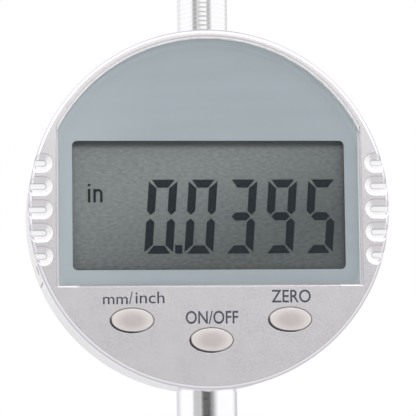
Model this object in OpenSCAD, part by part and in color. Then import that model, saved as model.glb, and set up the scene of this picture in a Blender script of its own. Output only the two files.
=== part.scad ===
// Digital dial indicator: round electronic gauge head with a plunger spindle and a lug back.
// Z runs along the spindle, the front face looks toward -Y, and the origin is on the stem axis
// where the stem leaves the case. All sizes are in millimetres.

/* [Case] */

// Outside radius of the bezel and the rear case
case_r = 28; // [20:0.5:40]
// Distance from the stem axis forward to the front face
face_depth = 9.2; // [7:0.1:12]
// Distance from the stem axis back to the rear of the case
rear_depth = 7.8; // [6:0.1:12]
// Depth of the front bezel
bezel_depth = 4; // [3:0.1:5]
// Thickness of the case wall
wall = 1.5; // [1:0.1:3]

/* [Window and buttons] */

// Radius of the window's round top edge
window_r = 26.39; // [18:0.01:38]
// Half the width between the window's straight sides
window_half_w = 23.35; // [15:0.01:35]
// Width of the visible display
view_w = 42.4; // [20:0.1:60]
// Height of the visible display
view_h = 20.1; // [10:0.1:30]
// Long axis of a button
button_w = 6.6; // [4:0.1:10]
// Short axis of a button
button_h = 3.7; // [3:0.1:8]
// How far a button can be pressed
button_travel = 0.5; // [0.2:0.1:1]

/* [Spindle and stem] */

// Outside radius of the stem
stem_r = 4.7625; // [3:0.0005:6]
// Length of the stem below the case
stem_len = 18.5; // [12:0.5:30]
// Radius of the spindle
spindle_r = 2; // [1.5:0.1:3]
// How far the spindle can rise
travel = 12.7; // [5:0.1:15]

/* [Lug back] */

// Thickness of the lug across its hole
lug_w = 6.35; // [4:0.01:10]
// Radius of the hole in the lug
lug_hole_r = 3.2; // [2:0.05:5]

/* [Hidden] */

$fn = 96;
case_z = case_r;
face_y = -face_depth;
rear_y = rear_depth;
split_y = face_y + bezel_depth;
inner_r = case_r - wall;
floor_y = rear_y - wall;
edge_chamfer = 0.5;

// How far cutters run past a surface, and how far joined solids run into each other
cut = 1;
merge = 0.5;

// Front stack, from the face back to the board
face_plate = 2.2;
lens_inset = 0.1;
lens_t = 1;
print_gap = 0.02;
mask_t = 0.13;
window_rise = 0.24;
window_bottom = -11.7;
lens_margin = 0.22;
lens_arc_margin = 0.17;
recess_margin = 0.32;
recess_arc_margin = 0.35;
view_z = 0.58;
view_corner = 0.8;
view_gap = 0.5;
plate_back = face_y + face_plate;
lcd_w = view_w + 2;
lcd_h = view_h + 2.3;
lcd_t = 1.6;
zebra_z = 10.3;
zebra_t = 1.5;
board_t = 0.8;
board_y = plate_back + lcd_t + zebra_t;
board_back = board_y + board_t;
board_r = inner_r - 0.7;

// Finger pockets: count on a side, spacing, and sizes at the face and at the floor
pocket_count = 5;
pocket_pitch = 3.6;
pocket_half = 1.45;
pocket_floor_half = 0.45;
pocket_depth = 0.9;
pocket_end_x = 24.2;
pocket_z = -0.12;

// Display characters
digit_w = 4.48;
digit_h = 11.55;
digit_pitch = 6.23;
digit_first_x = -7.44;
digit_z = -1.1;
digit_slant = 0.075;
segment_t = 1.27;
ink_t = 0.04;
point_at = [-4.73, -6.2];
point_size = [1.14, 1.34];
sign_at = [-18.75, 1.15];
sign_stroke = 0.4;
sign_h = 2.1;
reading = ["abcdef", "abcdef", "abcdg", "abcdfg", "acdfg"];

// Buttons: left, middle and right centres on the face
button_at = [[-12.2, -17.3], [0, -20.4], [12.2, -17.3]];
button_gap = 0.08;
button_proud = 0.6;
flange_gap = 0.15;
flange_t = 0.6;
flange_rim = 0.6;
plunger_r = 1.2;
press_gap = 0.1;
switch_w = 4.4;
switch_t = 0.85;

// Case posts and back screws, as places on the face plane
post_at = [[11, 20.7], [-11, 20.7], [17.5, -15.7], [-17.5, -15.7]];
post_r = 1.7;
case_screw_r = 0.8;
case_head_r = 1.7;
case_head_t = 0.75;
case_head_sink = 0.05;
tap_depth = 3;
seal_r = 26.95;
seal_w = 0.5;
seal_t = 0.4;
seal_gap = 0.05;
back_screw_at = 12.2;
back_screw_r = 1;
back_head_r = 2;
back_head_t = 1.1;
head_chamfer = 0.4;
back_plate_r = 20.5;
back_plate_t = 1.6;
lug_reach = 6.6;

// Spindle train
running_gap = 0.03;
bush_r = 2.6;
bush_len = 6;
wiper_t = 1;
top_bush_r = 3;
top_bush_top = 60;
thread_r = 4;
neck_r = 4.6;
neck_len = 1.6;
boss_top = 4.4;
cap_seat_z = 55.7;
top_boss_z = 51.6;
spindle_room = 2.8;
spindle_low = -(stem_len + travel + spindle_room);
spindle_top = 58;
carrier_low = 4.7;
carrier_top = 19.4;
guide_x = -8;
guide_y = 0.2;
guide_r = 1;
guide_low = boss_top - 2;
guide_high = top_boss_z + 1.5;
clamp_z = 12;
clamp_r = 0.8;
strip_y = -2.3;
spring_wire = 0.2;
spring_r = 2.6;
spring_turns = 13;
holder_len = 6;
cap_r = 4.0;
cap_bore_r = 3.5;
cap_top = 74;
ring_pitch = 0.72;
ring_depth = 0.05;

// Battery drawer on the left side wall, as heights above the case centre
drawer_low = -11;
drawer_high = 17;
drawer_gap = 0.15;
drawer_back_y = 5.9;
drawer_inner_x = -19;
tray_y = 2.3;
tray_floor = 0.4;
cell_r = 10;
cell_t = 3.2;
cell_x = -16.2;
cell_z = 3;

// Data port on the right side wall
port_w = 7;
port_h = 4;
port_x = 18.8;
port_y = -1.1;
port_reach = 7.2;
port_wall = 1.2;
plug_w = 5.2;
plug_h = 2.2;
plug_len = 6.45;
plug_sink = 0.05;

// Extrudes a face-plane drawing (X across, Z up from the case centre) back from y by depth.
module slab(y, depth) {
    translate([0, y + depth, case_z])
        rotate([90, 0, 0])
            linear_extrude(height = depth)
                children();
}

// Extrudes a side-view drawing (Y across, Z up from the origin) along X.
module side_slab(x, length) {
    translate([x, 0, 0])
        rotate([90, 0, 90])
            linear_extrude(height = length)
                children();
}

// Turns a drawing of radius against Y about the case centre line.
module turned() {
    translate([0, 0, case_z])
        rotate([-90, 0, 0])
            rotate_extrude()
                children();
}

// Box between two corners.
module block(low, high) {
    translate(low)
        cube(high - low);
}

// Upright tube about the spindle axis.
module tube(outer, bore, low, high) {
    difference() {
        translate([0, 0, low])
            cylinder(r = outer, h = high - low);
        translate([0, 0, low - cut])
            cylinder(r = bore, h = high - low + 2 * cut);
    }
}

// Cross recess of a screw head.
module cross(length, width) {
    square([length, width], center = true);
    square([width, length], center = true);
}

module rounded(width, height, corner) {
    square([width, height - 2 * corner], center = true);
    square([width - 2 * corner, height], center = true);
    for (x = [-1, 1], z = [-1, 1])
        translate([x * (width / 2 - corner), z * (height / 2 - corner)])
            circle(r = corner);
}

module ellipse(width, height) {
    scale([1, height / width])
        circle(r = width / 2);
}

// The window's outline, grown by one margin on its straight edges and another on its round top.
module window_shape(margin, arc_margin) {
    intersection() {
        translate([0, window_rise])
            circle(r = window_r + arc_margin);
        translate([-window_half_w - margin, window_bottom - margin])
            square([2 * (window_half_w + margin), 2 * window_r]);
    }
}

// One scooped finger pocket that opens through the right side wall.
module pocket() {
    above = 0.2;
    slope = (pocket_half - pocket_floor_half) / pocket_depth;
    mouth = pocket_half + above * slope;
    floor_at = face_y + pocket_depth;
    start_x = pocket_end_x + pocket_half;
    side_slab(start_x, case_r)
        polygon([
            [face_y - above, -mouth],
            [face_y - above, mouth],
            [floor_at, pocket_floor_half],
            [floor_at, -pocket_floor_half]
        ]);
    translate([start_x, face_y - above, 0])
        rotate([-90, 0, 0])
            cylinder(r1 = mouth, r2 = pocket_floor_half, h = pocket_depth + above);
}

module front_bezel() {
    color([0.78, 0.78, 0.8])
    difference() {
        union() {
            turned()
                polygon([
                    [0, face_y],
                    [case_r - edge_chamfer, face_y],
                    [case_r, face_y + edge_chamfer],
                    [case_r, split_y],
                    [inner_r, split_y],
                    [inner_r, plate_back],
                    [0, plate_back]
                ]);
            slab(plate_back - merge, split_y - plate_back + merge)
                for (p = post_at)
                    translate(p)
                        circle(r = post_r);
        }
        slab(face_y - cut, cut + lens_inset + lens_t + print_gap + mask_t)
            window_shape(recess_margin, recess_arc_margin);
        slab(face_y, face_plate + cut)
            translate([0, view_z])
                rounded(view_w + 2 * view_gap, view_h + 2 * view_gap, view_corner);
        slab(face_y - cut, face_plate + 2 * cut)
            for (p = button_at)
                translate(p)
                    ellipse(button_w + 2 * button_gap, button_h + 2 * button_gap);
        slab(split_y - tap_depth, tap_depth + cut)
            for (p = post_at)
                translate(p)
                    circle(r = case_screw_r);
        turned()
            translate([seal_r - seal_gap, split_y - seal_t])
                square([seal_w + 2 * seal_gap, seal_t + cut]);
        for (side = [0, 1], i = [0 : pocket_count - 1])
            mirror([side, 0, 0])
                translate([0, 0, case_z + pocket_z + (i - (pocket_count - 1) / 2) * pocket_pitch])
                    pocket();
    }
}

module window_lens() {
    color([0.85, 0.9, 0.92, 0.35])
    slab(face_y + lens_inset, lens_t)
        window_shape(lens_margin, lens_arc_margin);
}

module window_mask() {
    color([0.62, 0.67, 0.7])
    slab(face_y + lens_inset + lens_t + print_gap, mask_t)
        difference() {
            window_shape(0, 0);
            translate([0, view_z])
                rounded(view_w, view_h, view_corner);
        }
}

module lcd_cell() {
    color([0.5, 0.53, 0.51])
    slab(plate_back, lcd_t)
        translate([0, view_z])
            square([lcd_w, lcd_h], center = true);
}

// A point of a character, leaned over by the display's slant.
function leaned(p) = [p[0] + p[1] * digit_slant, p[1]];

// One segment of a digit: a top, b upper right, c lower right, d bottom, e, f left, g middle.
module segment(letter) {
    half_w = digit_w / 2;
    half_h = digit_h / 2;
    bar_x = half_w - segment_t / 2;
    flat_end = half_w - 0.45;
    flat_inner_end = half_w - 1.41;
    side_end = half_h - 0.26;
    side_inner_end = half_h - 1.38;
    point_z = 0.27;
    point_len = 0.6;
    middle_end = bar_x - 0.14;
    flat_bar = [
        [-flat_end, half_h],
        [flat_end, half_h],
        [flat_inner_end, half_h - segment_t],
        [-flat_inner_end, half_h - segment_t]
    ];
    side_bar = [
        [half_w, side_end],
        [half_w, point_z + point_len],
        [bar_x, point_z],
        [half_w - segment_t, point_z + point_len],
        [half_w - segment_t, side_inner_end]
    ];
    middle_bar = [
        [-middle_end, 0],
        [-middle_end + point_len, segment_t / 2],
        [middle_end - point_len, segment_t / 2],
        [middle_end, 0],
        [middle_end - point_len, -segment_t / 2],
        [-middle_end + point_len, -segment_t / 2]
    ];
    flip_x = (letter == "e" || letter == "f") ? -1 : 1;
    flip_z = (letter == "c" || letter == "d" || letter == "e") ? -1 : 1;
    bar = (letter == "a" || letter == "d") ? flat_bar : letter == "g" ? middle_bar : side_bar;
    polygon([for (p = bar) leaned([p[0] * flip_x, p[1] * flip_z])]);
}

// The unit sign "in": a dotted bar, then a bar with a round-shouldered arch.
module unit_sign() {
    arch_r = 0.72;
    letter_pitch = 0.85;
    translate(sign_at) {
        square([sign_stroke, sign_h]);
        translate([0, sign_h + sign_stroke])
            square([sign_stroke, sign_stroke]);
        translate([letter_pitch, 0]) {
            square([sign_stroke, sign_h]);
            translate([2 * arch_r - sign_stroke, 0])
                square([sign_stroke, sign_h - arch_r]);
            intersection() {
                translate([arch_r, sign_h - arch_r])
                    difference() {
                        circle(r = arch_r);
                        circle(r = arch_r - sign_stroke);
                    }
                translate([sign_stroke / 2, sign_h - arch_r])
                    square(2 * arch_r);
            }
        }
    }
}

module lcd_digits() {
    color([0.16, 0.19, 0.23])
    slab(plate_back - ink_t, ink_t) {
        for (i = [0 : len(reading) - 1])
            translate([digit_first_x + i * digit_pitch, digit_z])
                for (letter = reading[i])
                    segment(letter);
        translate(point_at)
            square(point_size, center = true);
        unit_sign();
    }
}

module lcd_frame() {
    frame_w = 49.6;
    frame_h = 26;
    fit_gap = 0.1;
    color([0.1, 0.1, 0.11])
    slab(plate_back, board_y - plate_back)
        difference() {
            intersection() {
                circle(r = inner_r - 0.3);
                translate([0, view_z])
                    square([frame_w, frame_h], center = true);
            }
            translate([0, view_z])
                square([lcd_w + 2 * fit_gap, lcd_h + 2 * fit_gap], center = true);
        }
}

// Rubber connector strip between the display's edge and the board.
module zebra(height) {
    strip = [40, 1.6];
    color([0.35, 0.35, 0.38])
    slab(plate_back + lcd_t, zebra_t)
        translate([0, view_z + height])
            square(strip, center = true);
}

// Round board with notches for the spindle bosses and holes for the posts.
module main_board() {
    notch_x = -11;
    notch_w = 18;
    notch_z = 23.1;
    post_gap = 0.3;
    color([0.1, 0.35, 0.2])
    slab(board_y, board_t)
        difference() {
            circle(r = board_r);
            for (z = [-case_r, notch_z])
                translate([notch_x, z])
                    square([notch_w, case_r - notch_z]);
            for (p = post_at)
                translate(p)
                    circle(r = post_r + post_gap);
        }
}

module main_chip() {
    chip_at = [17.5, 11.5];
    chip_size = [6, 7];
    chip_t = 1.4;
    color([0.08, 0.08, 0.09])
    slab(board_back, chip_t)
        translate(chip_at)
            square(chip_size, center = true);
}

module crystal() {
    can_r = 1;
    can_len = 6;
    can_x = 19;
    can_z = -13;
    color([0.8, 0.8, 0.78])
    translate([can_x, board_back + can_r, case_z + can_z])
        cylinder(r = can_r, h = can_len);
}

// Press switch on the front of the board, behind a button.
module dome_switch(at) {
    dome_r = 1.5;
    color([0.2, 0.2, 0.22])
    slab(board_y - switch_t / 2, switch_t / 2)
        translate(at)
            square(switch_w, center = true);
    color([0.8, 0.78, 0.7])
    slab(board_y - switch_t, switch_t / 2)
        translate(at)
            circle(r = dome_r);
}

// Elliptical button with a retaining flange and a short plunger.
module push_button(at) {
    crown_r = 22;
    top_y = face_y - button_proud;
    flange_y = plate_back + flange_gap;
    flange_mid_y = flange_y + flange_t / 2;
    plunger_end_y = board_y - switch_t - button_travel - press_gap;
    color([0.84, 0.82, 0.81])
    union() {
        intersection() {
            slab(top_y, flange_mid_y - top_y)
                translate(at)
                    ellipse(button_w, button_h);
            translate([at[0], top_y + crown_r, case_z + at[1]])
                sphere(r = crown_r);
        }
        slab(flange_y, flange_t)
            translate(at)
                ellipse(button_w + 2 * flange_rim, button_h + 2 * flange_rim);
        slab(flange_mid_y, plunger_end_y - flange_mid_y)
            translate(at)
                circle(r = plunger_r);
    }
}

module case_seal() {
    color([0.08, 0.08, 0.08])
    turned()
        translate([seal_r, split_y - seal_t])
            square([seal_w, seal_t]);
}

// Wall segment and gap that the battery drawer's front fills.
module drawer_band(gap) {
    block(
        [-case_r - cut, split_y + drawer_gap - gap, case_z + drawer_low - gap],
        [drawer_inner_x, drawer_back_y + gap, case_z + drawer_high + gap]
    );
}

// Bosses inside the case that hold the stem, the guide rod and the top bush.
module spindle_bosses() {
    front_gap = 0.3;
    left_x = -10.5;
    low_right_x = 6.5;
    top_right_x = 5;
    top_front_y = -3.6;
    intersection() {
        turned()
            translate([0, split_y + front_gap])
                square([inner_r + merge, rear_y - split_y - front_gap - merge]);
        union() {
            block([left_x, split_y + front_gap, 0], [low_right_x, floor_y + merge, boss_top]);
            block([left_x, top_front_y, top_boss_z], [top_right_x, floor_y + merge, 2 * case_r]);
        }
    }
}

module rear_case() {
    head_gap = 0.15;
    cap_gap = 0.3;
    color([0.62, 0.63, 0.66])
    difference() {
        union() {
            turned()
                polygon([
                    [inner_r, split_y],
                    [case_r, split_y],
                    [case_r, rear_y - edge_chamfer],
                    [case_r - edge_chamfer, rear_y],
                    [0, rear_y],
                    [0, floor_y],
                    [inner_r, floor_y]
                ]);
            slab(split_y, floor_y - split_y + merge)
                for (p = post_at)
                    translate(p)
                        circle(r = post_r);
            spindle_bosses();
        }
        translate([0, 0, -cut])
            cylinder(r = neck_r, h = cut + neck_len);
        translate([0, 0, -cut])
            cylinder(r = thread_r, h = boss_top + 2 * cut);
        translate([0, 0, top_boss_z - cut])
            cylinder(r = top_bush_r, h = case_r);
        translate([0, 0, cap_seat_z])
            cylinder(r = cap_r + cap_gap, h = case_r);
        translate([guide_x, guide_y, guide_low])
            cylinder(r = guide_r, h = guide_high - guide_low);
        slab(split_y - cut, rear_y - split_y + 2 * cut)
            for (p = post_at)
                translate(p)
                    circle(r = case_screw_r);
        slab(rear_y - case_head_t - case_head_sink, case_head_t + cut)
            for (p = post_at)
                translate(p)
                    circle(r = case_head_r + head_gap);
        slab(floor_y - cut, wall + 2 * cut)
            for (x = [-1, 1], z = [-1, 1])
                translate([x * back_screw_at, z * back_screw_at])
                    circle(r = back_screw_r);
        drawer_band(drawer_gap);
        block(
            [port_x, port_y - plug_h / 2 - drawer_gap, case_z - plug_w / 2 - drawer_gap],
            [case_r + cut, port_y + plug_h / 2 + drawer_gap, case_z + plug_w / 2 + drawer_gap]
        );
    }
}

// Long screw that runs through a case post into the bezel.
module case_screw(number) {
    tip_y = face_y + 2.6;
    head_y = rear_y - case_head_t;
    recess_y = head_y + 0.3;
    color([0.75, 0.75, 0.77])
    difference() {
        union() {
            slab(tip_y, head_y - tip_y)
                translate(post_at[number - 1])
                    circle(r = case_screw_r);
            slab(head_y, case_head_t - case_head_sink)
                translate(post_at[number - 1])
                    circle(r = case_head_r);
        }
        slab(recess_y, cut)
            translate(post_at[number - 1])
                cross(1.8, 0.4);
    }
}

// Plate and lug in one casting, with the fixing hole across the lug.
module lug_back() {
    plate_y = rear_y + back_plate_t;
    lug_end_y = plate_y + lug_reach;
    screw_gap = 0.05;
    color([0.66, 0.67, 0.7])
    difference() {
        union() {
            turned()
                polygon([
                    [0, rear_y],
                    [back_plate_r, rear_y],
                    [back_plate_r, plate_y - head_chamfer],
                    [back_plate_r - head_chamfer, plate_y],
                    [0, plate_y]
                ]);
            translate([0, 0, case_z])
                side_slab(-lug_w / 2, lug_w) {
                    translate([plate_y - merge, -lug_w])
                        square([lug_reach + merge, 2 * lug_w]);
                    translate([lug_end_y, 0])
                        circle(r = lug_w);
                }
        }
        translate([0, 0, case_z])
            side_slab(-lug_w, 2 * lug_w)
                translate([lug_end_y, 0])
                    circle(r = lug_hole_r);
        slab(rear_y - cut, back_plate_t + 2 * cut)
            for (x = [-1, 1], z = [-1, 1])
                translate([x * back_screw_at, z * back_screw_at])
                    circle(r = back_screw_r + screw_gap);
    }
}

// Pan-head screw that holds the lug back; the number picks its corner.
module back_screw(number) {
    x = number % 2 == 0 ? back_screw_at : -back_screw_at;
    z = number > 2 ? back_screw_at : -back_screw_at;
    head_y = rear_y + back_plate_t;
    recess_y = head_y + 0.5;
    color([0.75, 0.75, 0.77])
    difference() {
        union() {
            slab(floor_y, head_y + head_chamfer / 2 - floor_y)
                translate([x, z])
                    circle(r = back_screw_r);
            translate([x, 0, z])
                turned()
                    polygon([
                        [0, head_y],
                        [back_head_r, head_y],
                        [back_head_r, head_y + back_head_t - head_chamfer],
                        [back_head_r - head_chamfer, head_y + back_head_t],
                        [0, head_y + back_head_t]
                    ]);
        }
        slab(recess_y, cut)
            translate([x, z])
                cross(2.4, 0.5);
    }
}

module stem() {
    chamfer = 0.5;
    color([0.85, 0.85, 0.87])
    rotate_extrude()
        polygon([
            [bush_r, -stem_len],
            [stem_r - chamfer, -stem_len],
            [stem_r, -stem_len + chamfer],
            [stem_r, 0],
            [neck_r, 0],
            [neck_r, neck_len],
            [thread_r, neck_len],
            [thread_r, boss_top],
            [bush_r, boss_top]
        ]);
}

module stem_bush_low() {
    low = -stem_len + wiper_t;
    color([0.75, 0.6, 0.3])
    tube(bush_r, spindle_r + running_gap, low, low + bush_len);
}

module stem_bush_high() {
    color([0.75, 0.6, 0.3])
    tube(bush_r, spindle_r + running_gap, boss_top - bush_len, boss_top);
}

module stem_wiper() {
    wiper_gap = 0.1;
    color([0.3, 0.3, 0.3])
    tube(bush_r, spindle_r + wiper_gap, -stem_len, -stem_len + wiper_t);
}

module top_bush() {
    color([0.75, 0.6, 0.3])
    difference() {
        union() {
            translate([0, 0, top_boss_z])
                cylinder(r = top_bush_r, h = top_bush_top - top_boss_z);
            translate([0, 0, cap_seat_z])
                cylinder(r = cap_bore_r, h = top_bush_top - cap_seat_z);
        }
        translate([0, 0, top_boss_z - cut])
            cylinder(r = spindle_r + running_gap, h = top_bush_top - top_boss_z + 2 * cut);
    }
}

// Closed tube with fine turned rings on the outside.
module dust_cap() {
    chamfer = 0.6;
    end_t = 0.8;
    first_ring_z = cap_top - 2 * chamfer;
    plain_len = 0.8;
    rings = floor((cap_top - cap_seat_z - plain_len) / ring_pitch);
    color([0.85, 0.85, 0.87])
    rotate_extrude()
        polygon([
            [0, cap_top],
            [cap_r - chamfer, cap_top],
            [cap_r, cap_top - chamfer],
            for (i = [0 : rings - 1], k = [0 : 2])
                [k == 1 ? cap_r - ring_depth : cap_r, first_ring_z - (i + k / 3) * ring_pitch],
            [cap_r, cap_seat_z],
            [cap_bore_r, cap_seat_z],
            [cap_bore_r, cap_top - end_t],
            [0, cap_top - end_t]
        ]);
}

module spindle() {
    chamfer = 0.4;
    color([0.8, 0.8, 0.82])
    rotate_extrude()
        polygon([
            [0, spindle_low],
            [spindle_r, spindle_low],
            [spindle_r, spindle_top - chamfer],
            [spindle_r - chamfer, spindle_top],
            [0, spindle_top]
        ]);
}

// Block clamped on the spindle: an arm slides on the guide rod, a wing carries the scale strip.
module carrier() {
    hub_x = 4.2;
    hub_back_y = 3.4;
    arm_x = -10.2;
    arm_front_y = -1.6;
    arm_back_y = 1.9;
    wing_x = 13;
    wing_back_y = -0.3;
    wing_low = carrier_low + 3;
    overlap = 0.1;
    guide_gap = 0.05;
    color([0.2, 0.2, 0.22])
    difference() {
        union() {
            block([-hub_x, strip_y, carrier_low], [hub_x, hub_back_y, carrier_top]);
            block([arm_x, arm_front_y, carrier_low], [-hub_x + overlap, arm_back_y, carrier_top]);
            block([hub_x - overlap, strip_y, wing_low], [wing_x, wing_back_y, carrier_top]);
        }
        translate([0, 0, carrier_low - cut])
            cylinder(r = spindle_r, h = carrier_top - carrier_low + 2 * cut);
        translate([guide_x, guide_y, carrier_low - cut])
            cylinder(r = guide_r + guide_gap, h = carrier_top - carrier_low + 2 * cut);
        translate([0, spindle_r - cut, clamp_z])
            rotate([-90, 0, 0])
                cylinder(r = clamp_r, h = hub_back_y + cut);
    }
}

module clamp_screw() {
    slot_half = 0.15;
    slot_y = spindle_r + 1.1;
    color([0.5, 0.5, 0.52])
    difference() {
        translate([0, spindle_r, clamp_z])
            rotate([-90, 0, 0])
                cylinder(r = clamp_r, h = 1.4);
        block([-cut, slot_y, clamp_z - slot_half], [cut, slot_y + cut, clamp_z + slot_half]);
    }
}

module scale_strip() {
    left_x = 4.6;
    right_x = 12.4;
    strip_t = 0.5;
    strip_len = 25;
    low = carrier_low + 3;
    color([0.75, 0.55, 0.25])
    block([left_x, strip_y - strip_t, low], [right_x, strip_y, low + strip_len]);
}

module guide_rod() {
    color([0.8, 0.8, 0.82])
    translate([guide_x, guide_y, guide_low])
        cylinder(r = guide_r, h = guide_high - guide_low);
}

// Coil spring swept as one closed skin around its helix.
module return_spring() {
    end_gap = 0.1;
    per_turn = 18;
    sides = 8;
    low = carrier_top + end_gap + spring_wire;
    high = top_boss_z - end_gap - spring_wire;
    steps = per_turn * spring_turns;
    rise = (high - low) / steps;
    points = [
        for (i = [0 : steps], k = [0 : sides - 1])
            let (
                turn = i * 360 / per_turn,
                around = k * 360 / sides,
                reach = spring_r + spring_wire * cos(around)
            )
            [reach * cos(turn), reach * sin(turn), low + i * rise + spring_wire * sin(around)]
    ];
    skin = [
        for (i = [0 : steps - 1], k = [0 : sides - 1])
            let (next = (k + 1) % sides)
            [i * sides + k, (i + 1) * sides + k, (i + 1) * sides + next, i * sides + next]
    ];
    start_cap = [for (k = [0 : sides - 1]) k];
    end_cap = [for (k = [sides - 1 : -1 : 0]) steps * sides + k];
    color([0.7, 0.7, 0.72])
    polyhedron(points = points, faces = concat(skin, [start_cap], [end_cap]), convexity = 8);
}

module contact_holder() {
    collar_r = 2.4;
    collar_len = 2.2;
    chamfer = 0.3;
    tip_r = 1.3;
    color([0.8, 0.8, 0.82])
    rotate_extrude()
        polygon([
            [0, spindle_low],
            [collar_r - chamfer, spindle_low],
            [collar_r, spindle_low - chamfer],
            [collar_r, spindle_low - collar_len + chamfer],
            [collar_r - chamfer, spindle_low - collar_len],
            [tip_r, spindle_low - holder_len],
            [0, spindle_low - holder_len]
        ]);
}

module contact_ball() {
    ball_r = 1.5;
    drop = 0.8;
    color([0.6, 0.6, 0.63])
    difference() {
        translate([0, 0, spindle_low - holder_len - drop])
            sphere(r = ball_r);
        block([-3, -3, spindle_low - holder_len], [3, 3, spindle_low]);
    }
}

// Drawer front in the side wall, with the tray that carries the coin cell.
module battery_drawer() {
    tray_r = cell_r + 0.9;
    tray_t = cell_t + tray_floor;
    cell_gap = 0.15;
    ledge = 0.8;
    nail_low = case_z + drawer_low + 1.2;
    nail_w = 1.4;
    nail_depth = 2.1;
    color([0.55, 0.56, 0.6])
    difference() {
        union() {
            intersection() {
                turned()
                    translate([inner_r, split_y])
                        square([wall, rear_y - split_y]);
                drawer_band(0);
            }
            slab(tray_y, tray_t)
                intersection() {
                    circle(r = inner_r + 0.4);
                    union() {
                        translate([cell_x, cell_z])
                            circle(r = tray_r);
                        translate([-case_r, cell_z - tray_r])
                            square([case_r + cell_x, 2 * tray_r]);
                    }
                }
        }
        slab(tray_y + tray_floor, tray_t)
            translate([cell_x, cell_z])
                circle(r = cell_r + cell_gap);
        slab(tray_y - cut, tray_t)
            translate([cell_x, cell_z])
                circle(r = cell_r - ledge);
        block(
            [-case_r - cut, split_y, nail_low],
            [-case_r + nail_depth, split_y + 2.4, nail_low + nail_w]
        );
    }
}

module coin_cell() {
    cell_y = tray_y + tray_floor;
    cap_t = 0.5;
    rim = 1;
    color([0.8, 0.8, 0.8])
    slab(cell_y + cap_t, cell_t - cap_t)
        translate([cell_x, cell_z])
            circle(r = cell_r);
    color([0.8, 0.8, 0.8])
    slab(cell_y, cap_t)
        translate([cell_x, cell_z])
            circle(r = cell_r - rim);
}

// Leaf on the case floor behind the cell, with a leg forward to the board.
module contact_plus() {
    left_x = -20;
    leg_x = -4.7;
    leaf_t = 0.15;
    leg_t = 0.2;
    low = case_z + 7.5;
    high = case_z + 9.5;
    color([0.8, 0.7, 0.4])
    union() {
        block([left_x, floor_y - leaf_t, low], [leg_x + leg_t, floor_y, high]);
        block([leg_x, board_back, low], [leg_x + leg_t, floor_y, high]);
    }
}

// Leaf in front of the cell, with a leg forward to the board.
module contact_minus() {
    left_x = -20;
    right_x = -12;
    leg_t = 0.2;
    leaf_front = tray_y - 0.4;
    leaf_back = tray_y - 0.25;
    low = case_z + 2;
    high = case_z + 4;
    color([0.8, 0.7, 0.4])
    union() {
        block([left_x, leaf_front, low], [right_x, leaf_back, high]);
        block([left_x, board_back, low], [left_x + leg_t, leaf_back, high]);
    }
}

module data_port() {
    color([0.12, 0.12, 0.13])
    difference() {
        block(
            [port_x, board_back, case_z - port_w / 2],
            [port_x + port_reach, port_y + port_h / 2, case_z + port_w / 2]
        );
        block(
            [port_x + port_wall, port_y - plug_h / 2 - drawer_gap, case_z - plug_w / 2 - drawer_gap],
            [case_r, port_y + plug_h / 2 + drawer_gap, case_z + plug_w / 2 + drawer_gap]
        );
    }
}

module port_plug() {
    outer_x = case_r - plug_sink;
    color([0.15, 0.15, 0.16])
    block(
        [outer_x - plug_len, port_y - plug_h / 2, case_z - plug_w / 2],
        [outer_x, port_y + plug_h / 2, case_z + plug_w / 2]
    );
}

front_bezel();
window_lens();
window_mask();
lcd_cell();
lcd_digits();
lcd_frame();
zebra(zebra_z);  // zebra_upper
zebra(-zebra_z);  // zebra_lower
main_board();
main_chip();
crystal();
dome_switch(button_at[0]);  // inch_switch
dome_switch(button_at[1]);  // power_switch
dome_switch(button_at[2]);  // zero_switch
push_button(button_at[0]);  // inch_button
push_button(button_at[1]);  // power_button
push_button(button_at[2]);  // zero_button
case_seal();
rear_case();
case_screw(1);  // case_screw_1
case_screw(2);  // case_screw_2
case_screw(3);  // case_screw_3
case_screw(4);  // case_screw_4
lug_back();
back_screw(1);  // back_screw_1
back_screw(2);  // back_screw_2
back_screw(3);  // back_screw_3
back_screw(4);  // back_screw_4
stem();
stem_bush_low();
stem_bush_high();
stem_wiper();
top_bush();
dust_cap();
spindle();
carrier();
clamp_screw();
scale_strip();
guide_rod();
return_spring();
contact_holder();
contact_ball();
battery_drawer();
coin_cell();
contact_plus();
contact_minus();
data_port();
port_plug();
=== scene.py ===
import math

import bmesh
import bpy
from mathutils import Matrix, Vector


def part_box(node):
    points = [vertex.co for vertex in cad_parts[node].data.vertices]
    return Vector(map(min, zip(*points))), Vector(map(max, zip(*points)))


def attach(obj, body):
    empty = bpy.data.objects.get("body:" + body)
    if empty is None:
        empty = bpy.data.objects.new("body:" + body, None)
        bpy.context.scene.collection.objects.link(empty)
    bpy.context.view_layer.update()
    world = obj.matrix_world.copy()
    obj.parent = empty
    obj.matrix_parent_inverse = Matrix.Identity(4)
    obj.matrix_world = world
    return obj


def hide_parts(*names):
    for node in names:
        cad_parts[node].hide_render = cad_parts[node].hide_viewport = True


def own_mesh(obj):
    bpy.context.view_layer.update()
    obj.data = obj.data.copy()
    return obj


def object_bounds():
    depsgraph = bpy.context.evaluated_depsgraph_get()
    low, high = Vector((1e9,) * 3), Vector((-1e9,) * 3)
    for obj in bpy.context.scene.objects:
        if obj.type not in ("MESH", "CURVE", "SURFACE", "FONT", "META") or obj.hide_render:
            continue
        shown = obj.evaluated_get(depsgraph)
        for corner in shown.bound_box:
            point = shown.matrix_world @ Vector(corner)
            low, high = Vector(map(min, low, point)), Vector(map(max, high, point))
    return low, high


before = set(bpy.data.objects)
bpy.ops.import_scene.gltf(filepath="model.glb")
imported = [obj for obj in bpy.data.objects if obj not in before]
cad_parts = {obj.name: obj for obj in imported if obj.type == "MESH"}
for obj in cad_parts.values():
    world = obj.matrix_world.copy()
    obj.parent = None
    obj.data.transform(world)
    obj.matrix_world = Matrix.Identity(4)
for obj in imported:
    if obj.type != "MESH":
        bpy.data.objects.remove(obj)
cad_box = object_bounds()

MM = 0.001

# ---------------------------------------------------------------------------
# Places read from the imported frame
# ---------------------------------------------------------------------------

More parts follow.
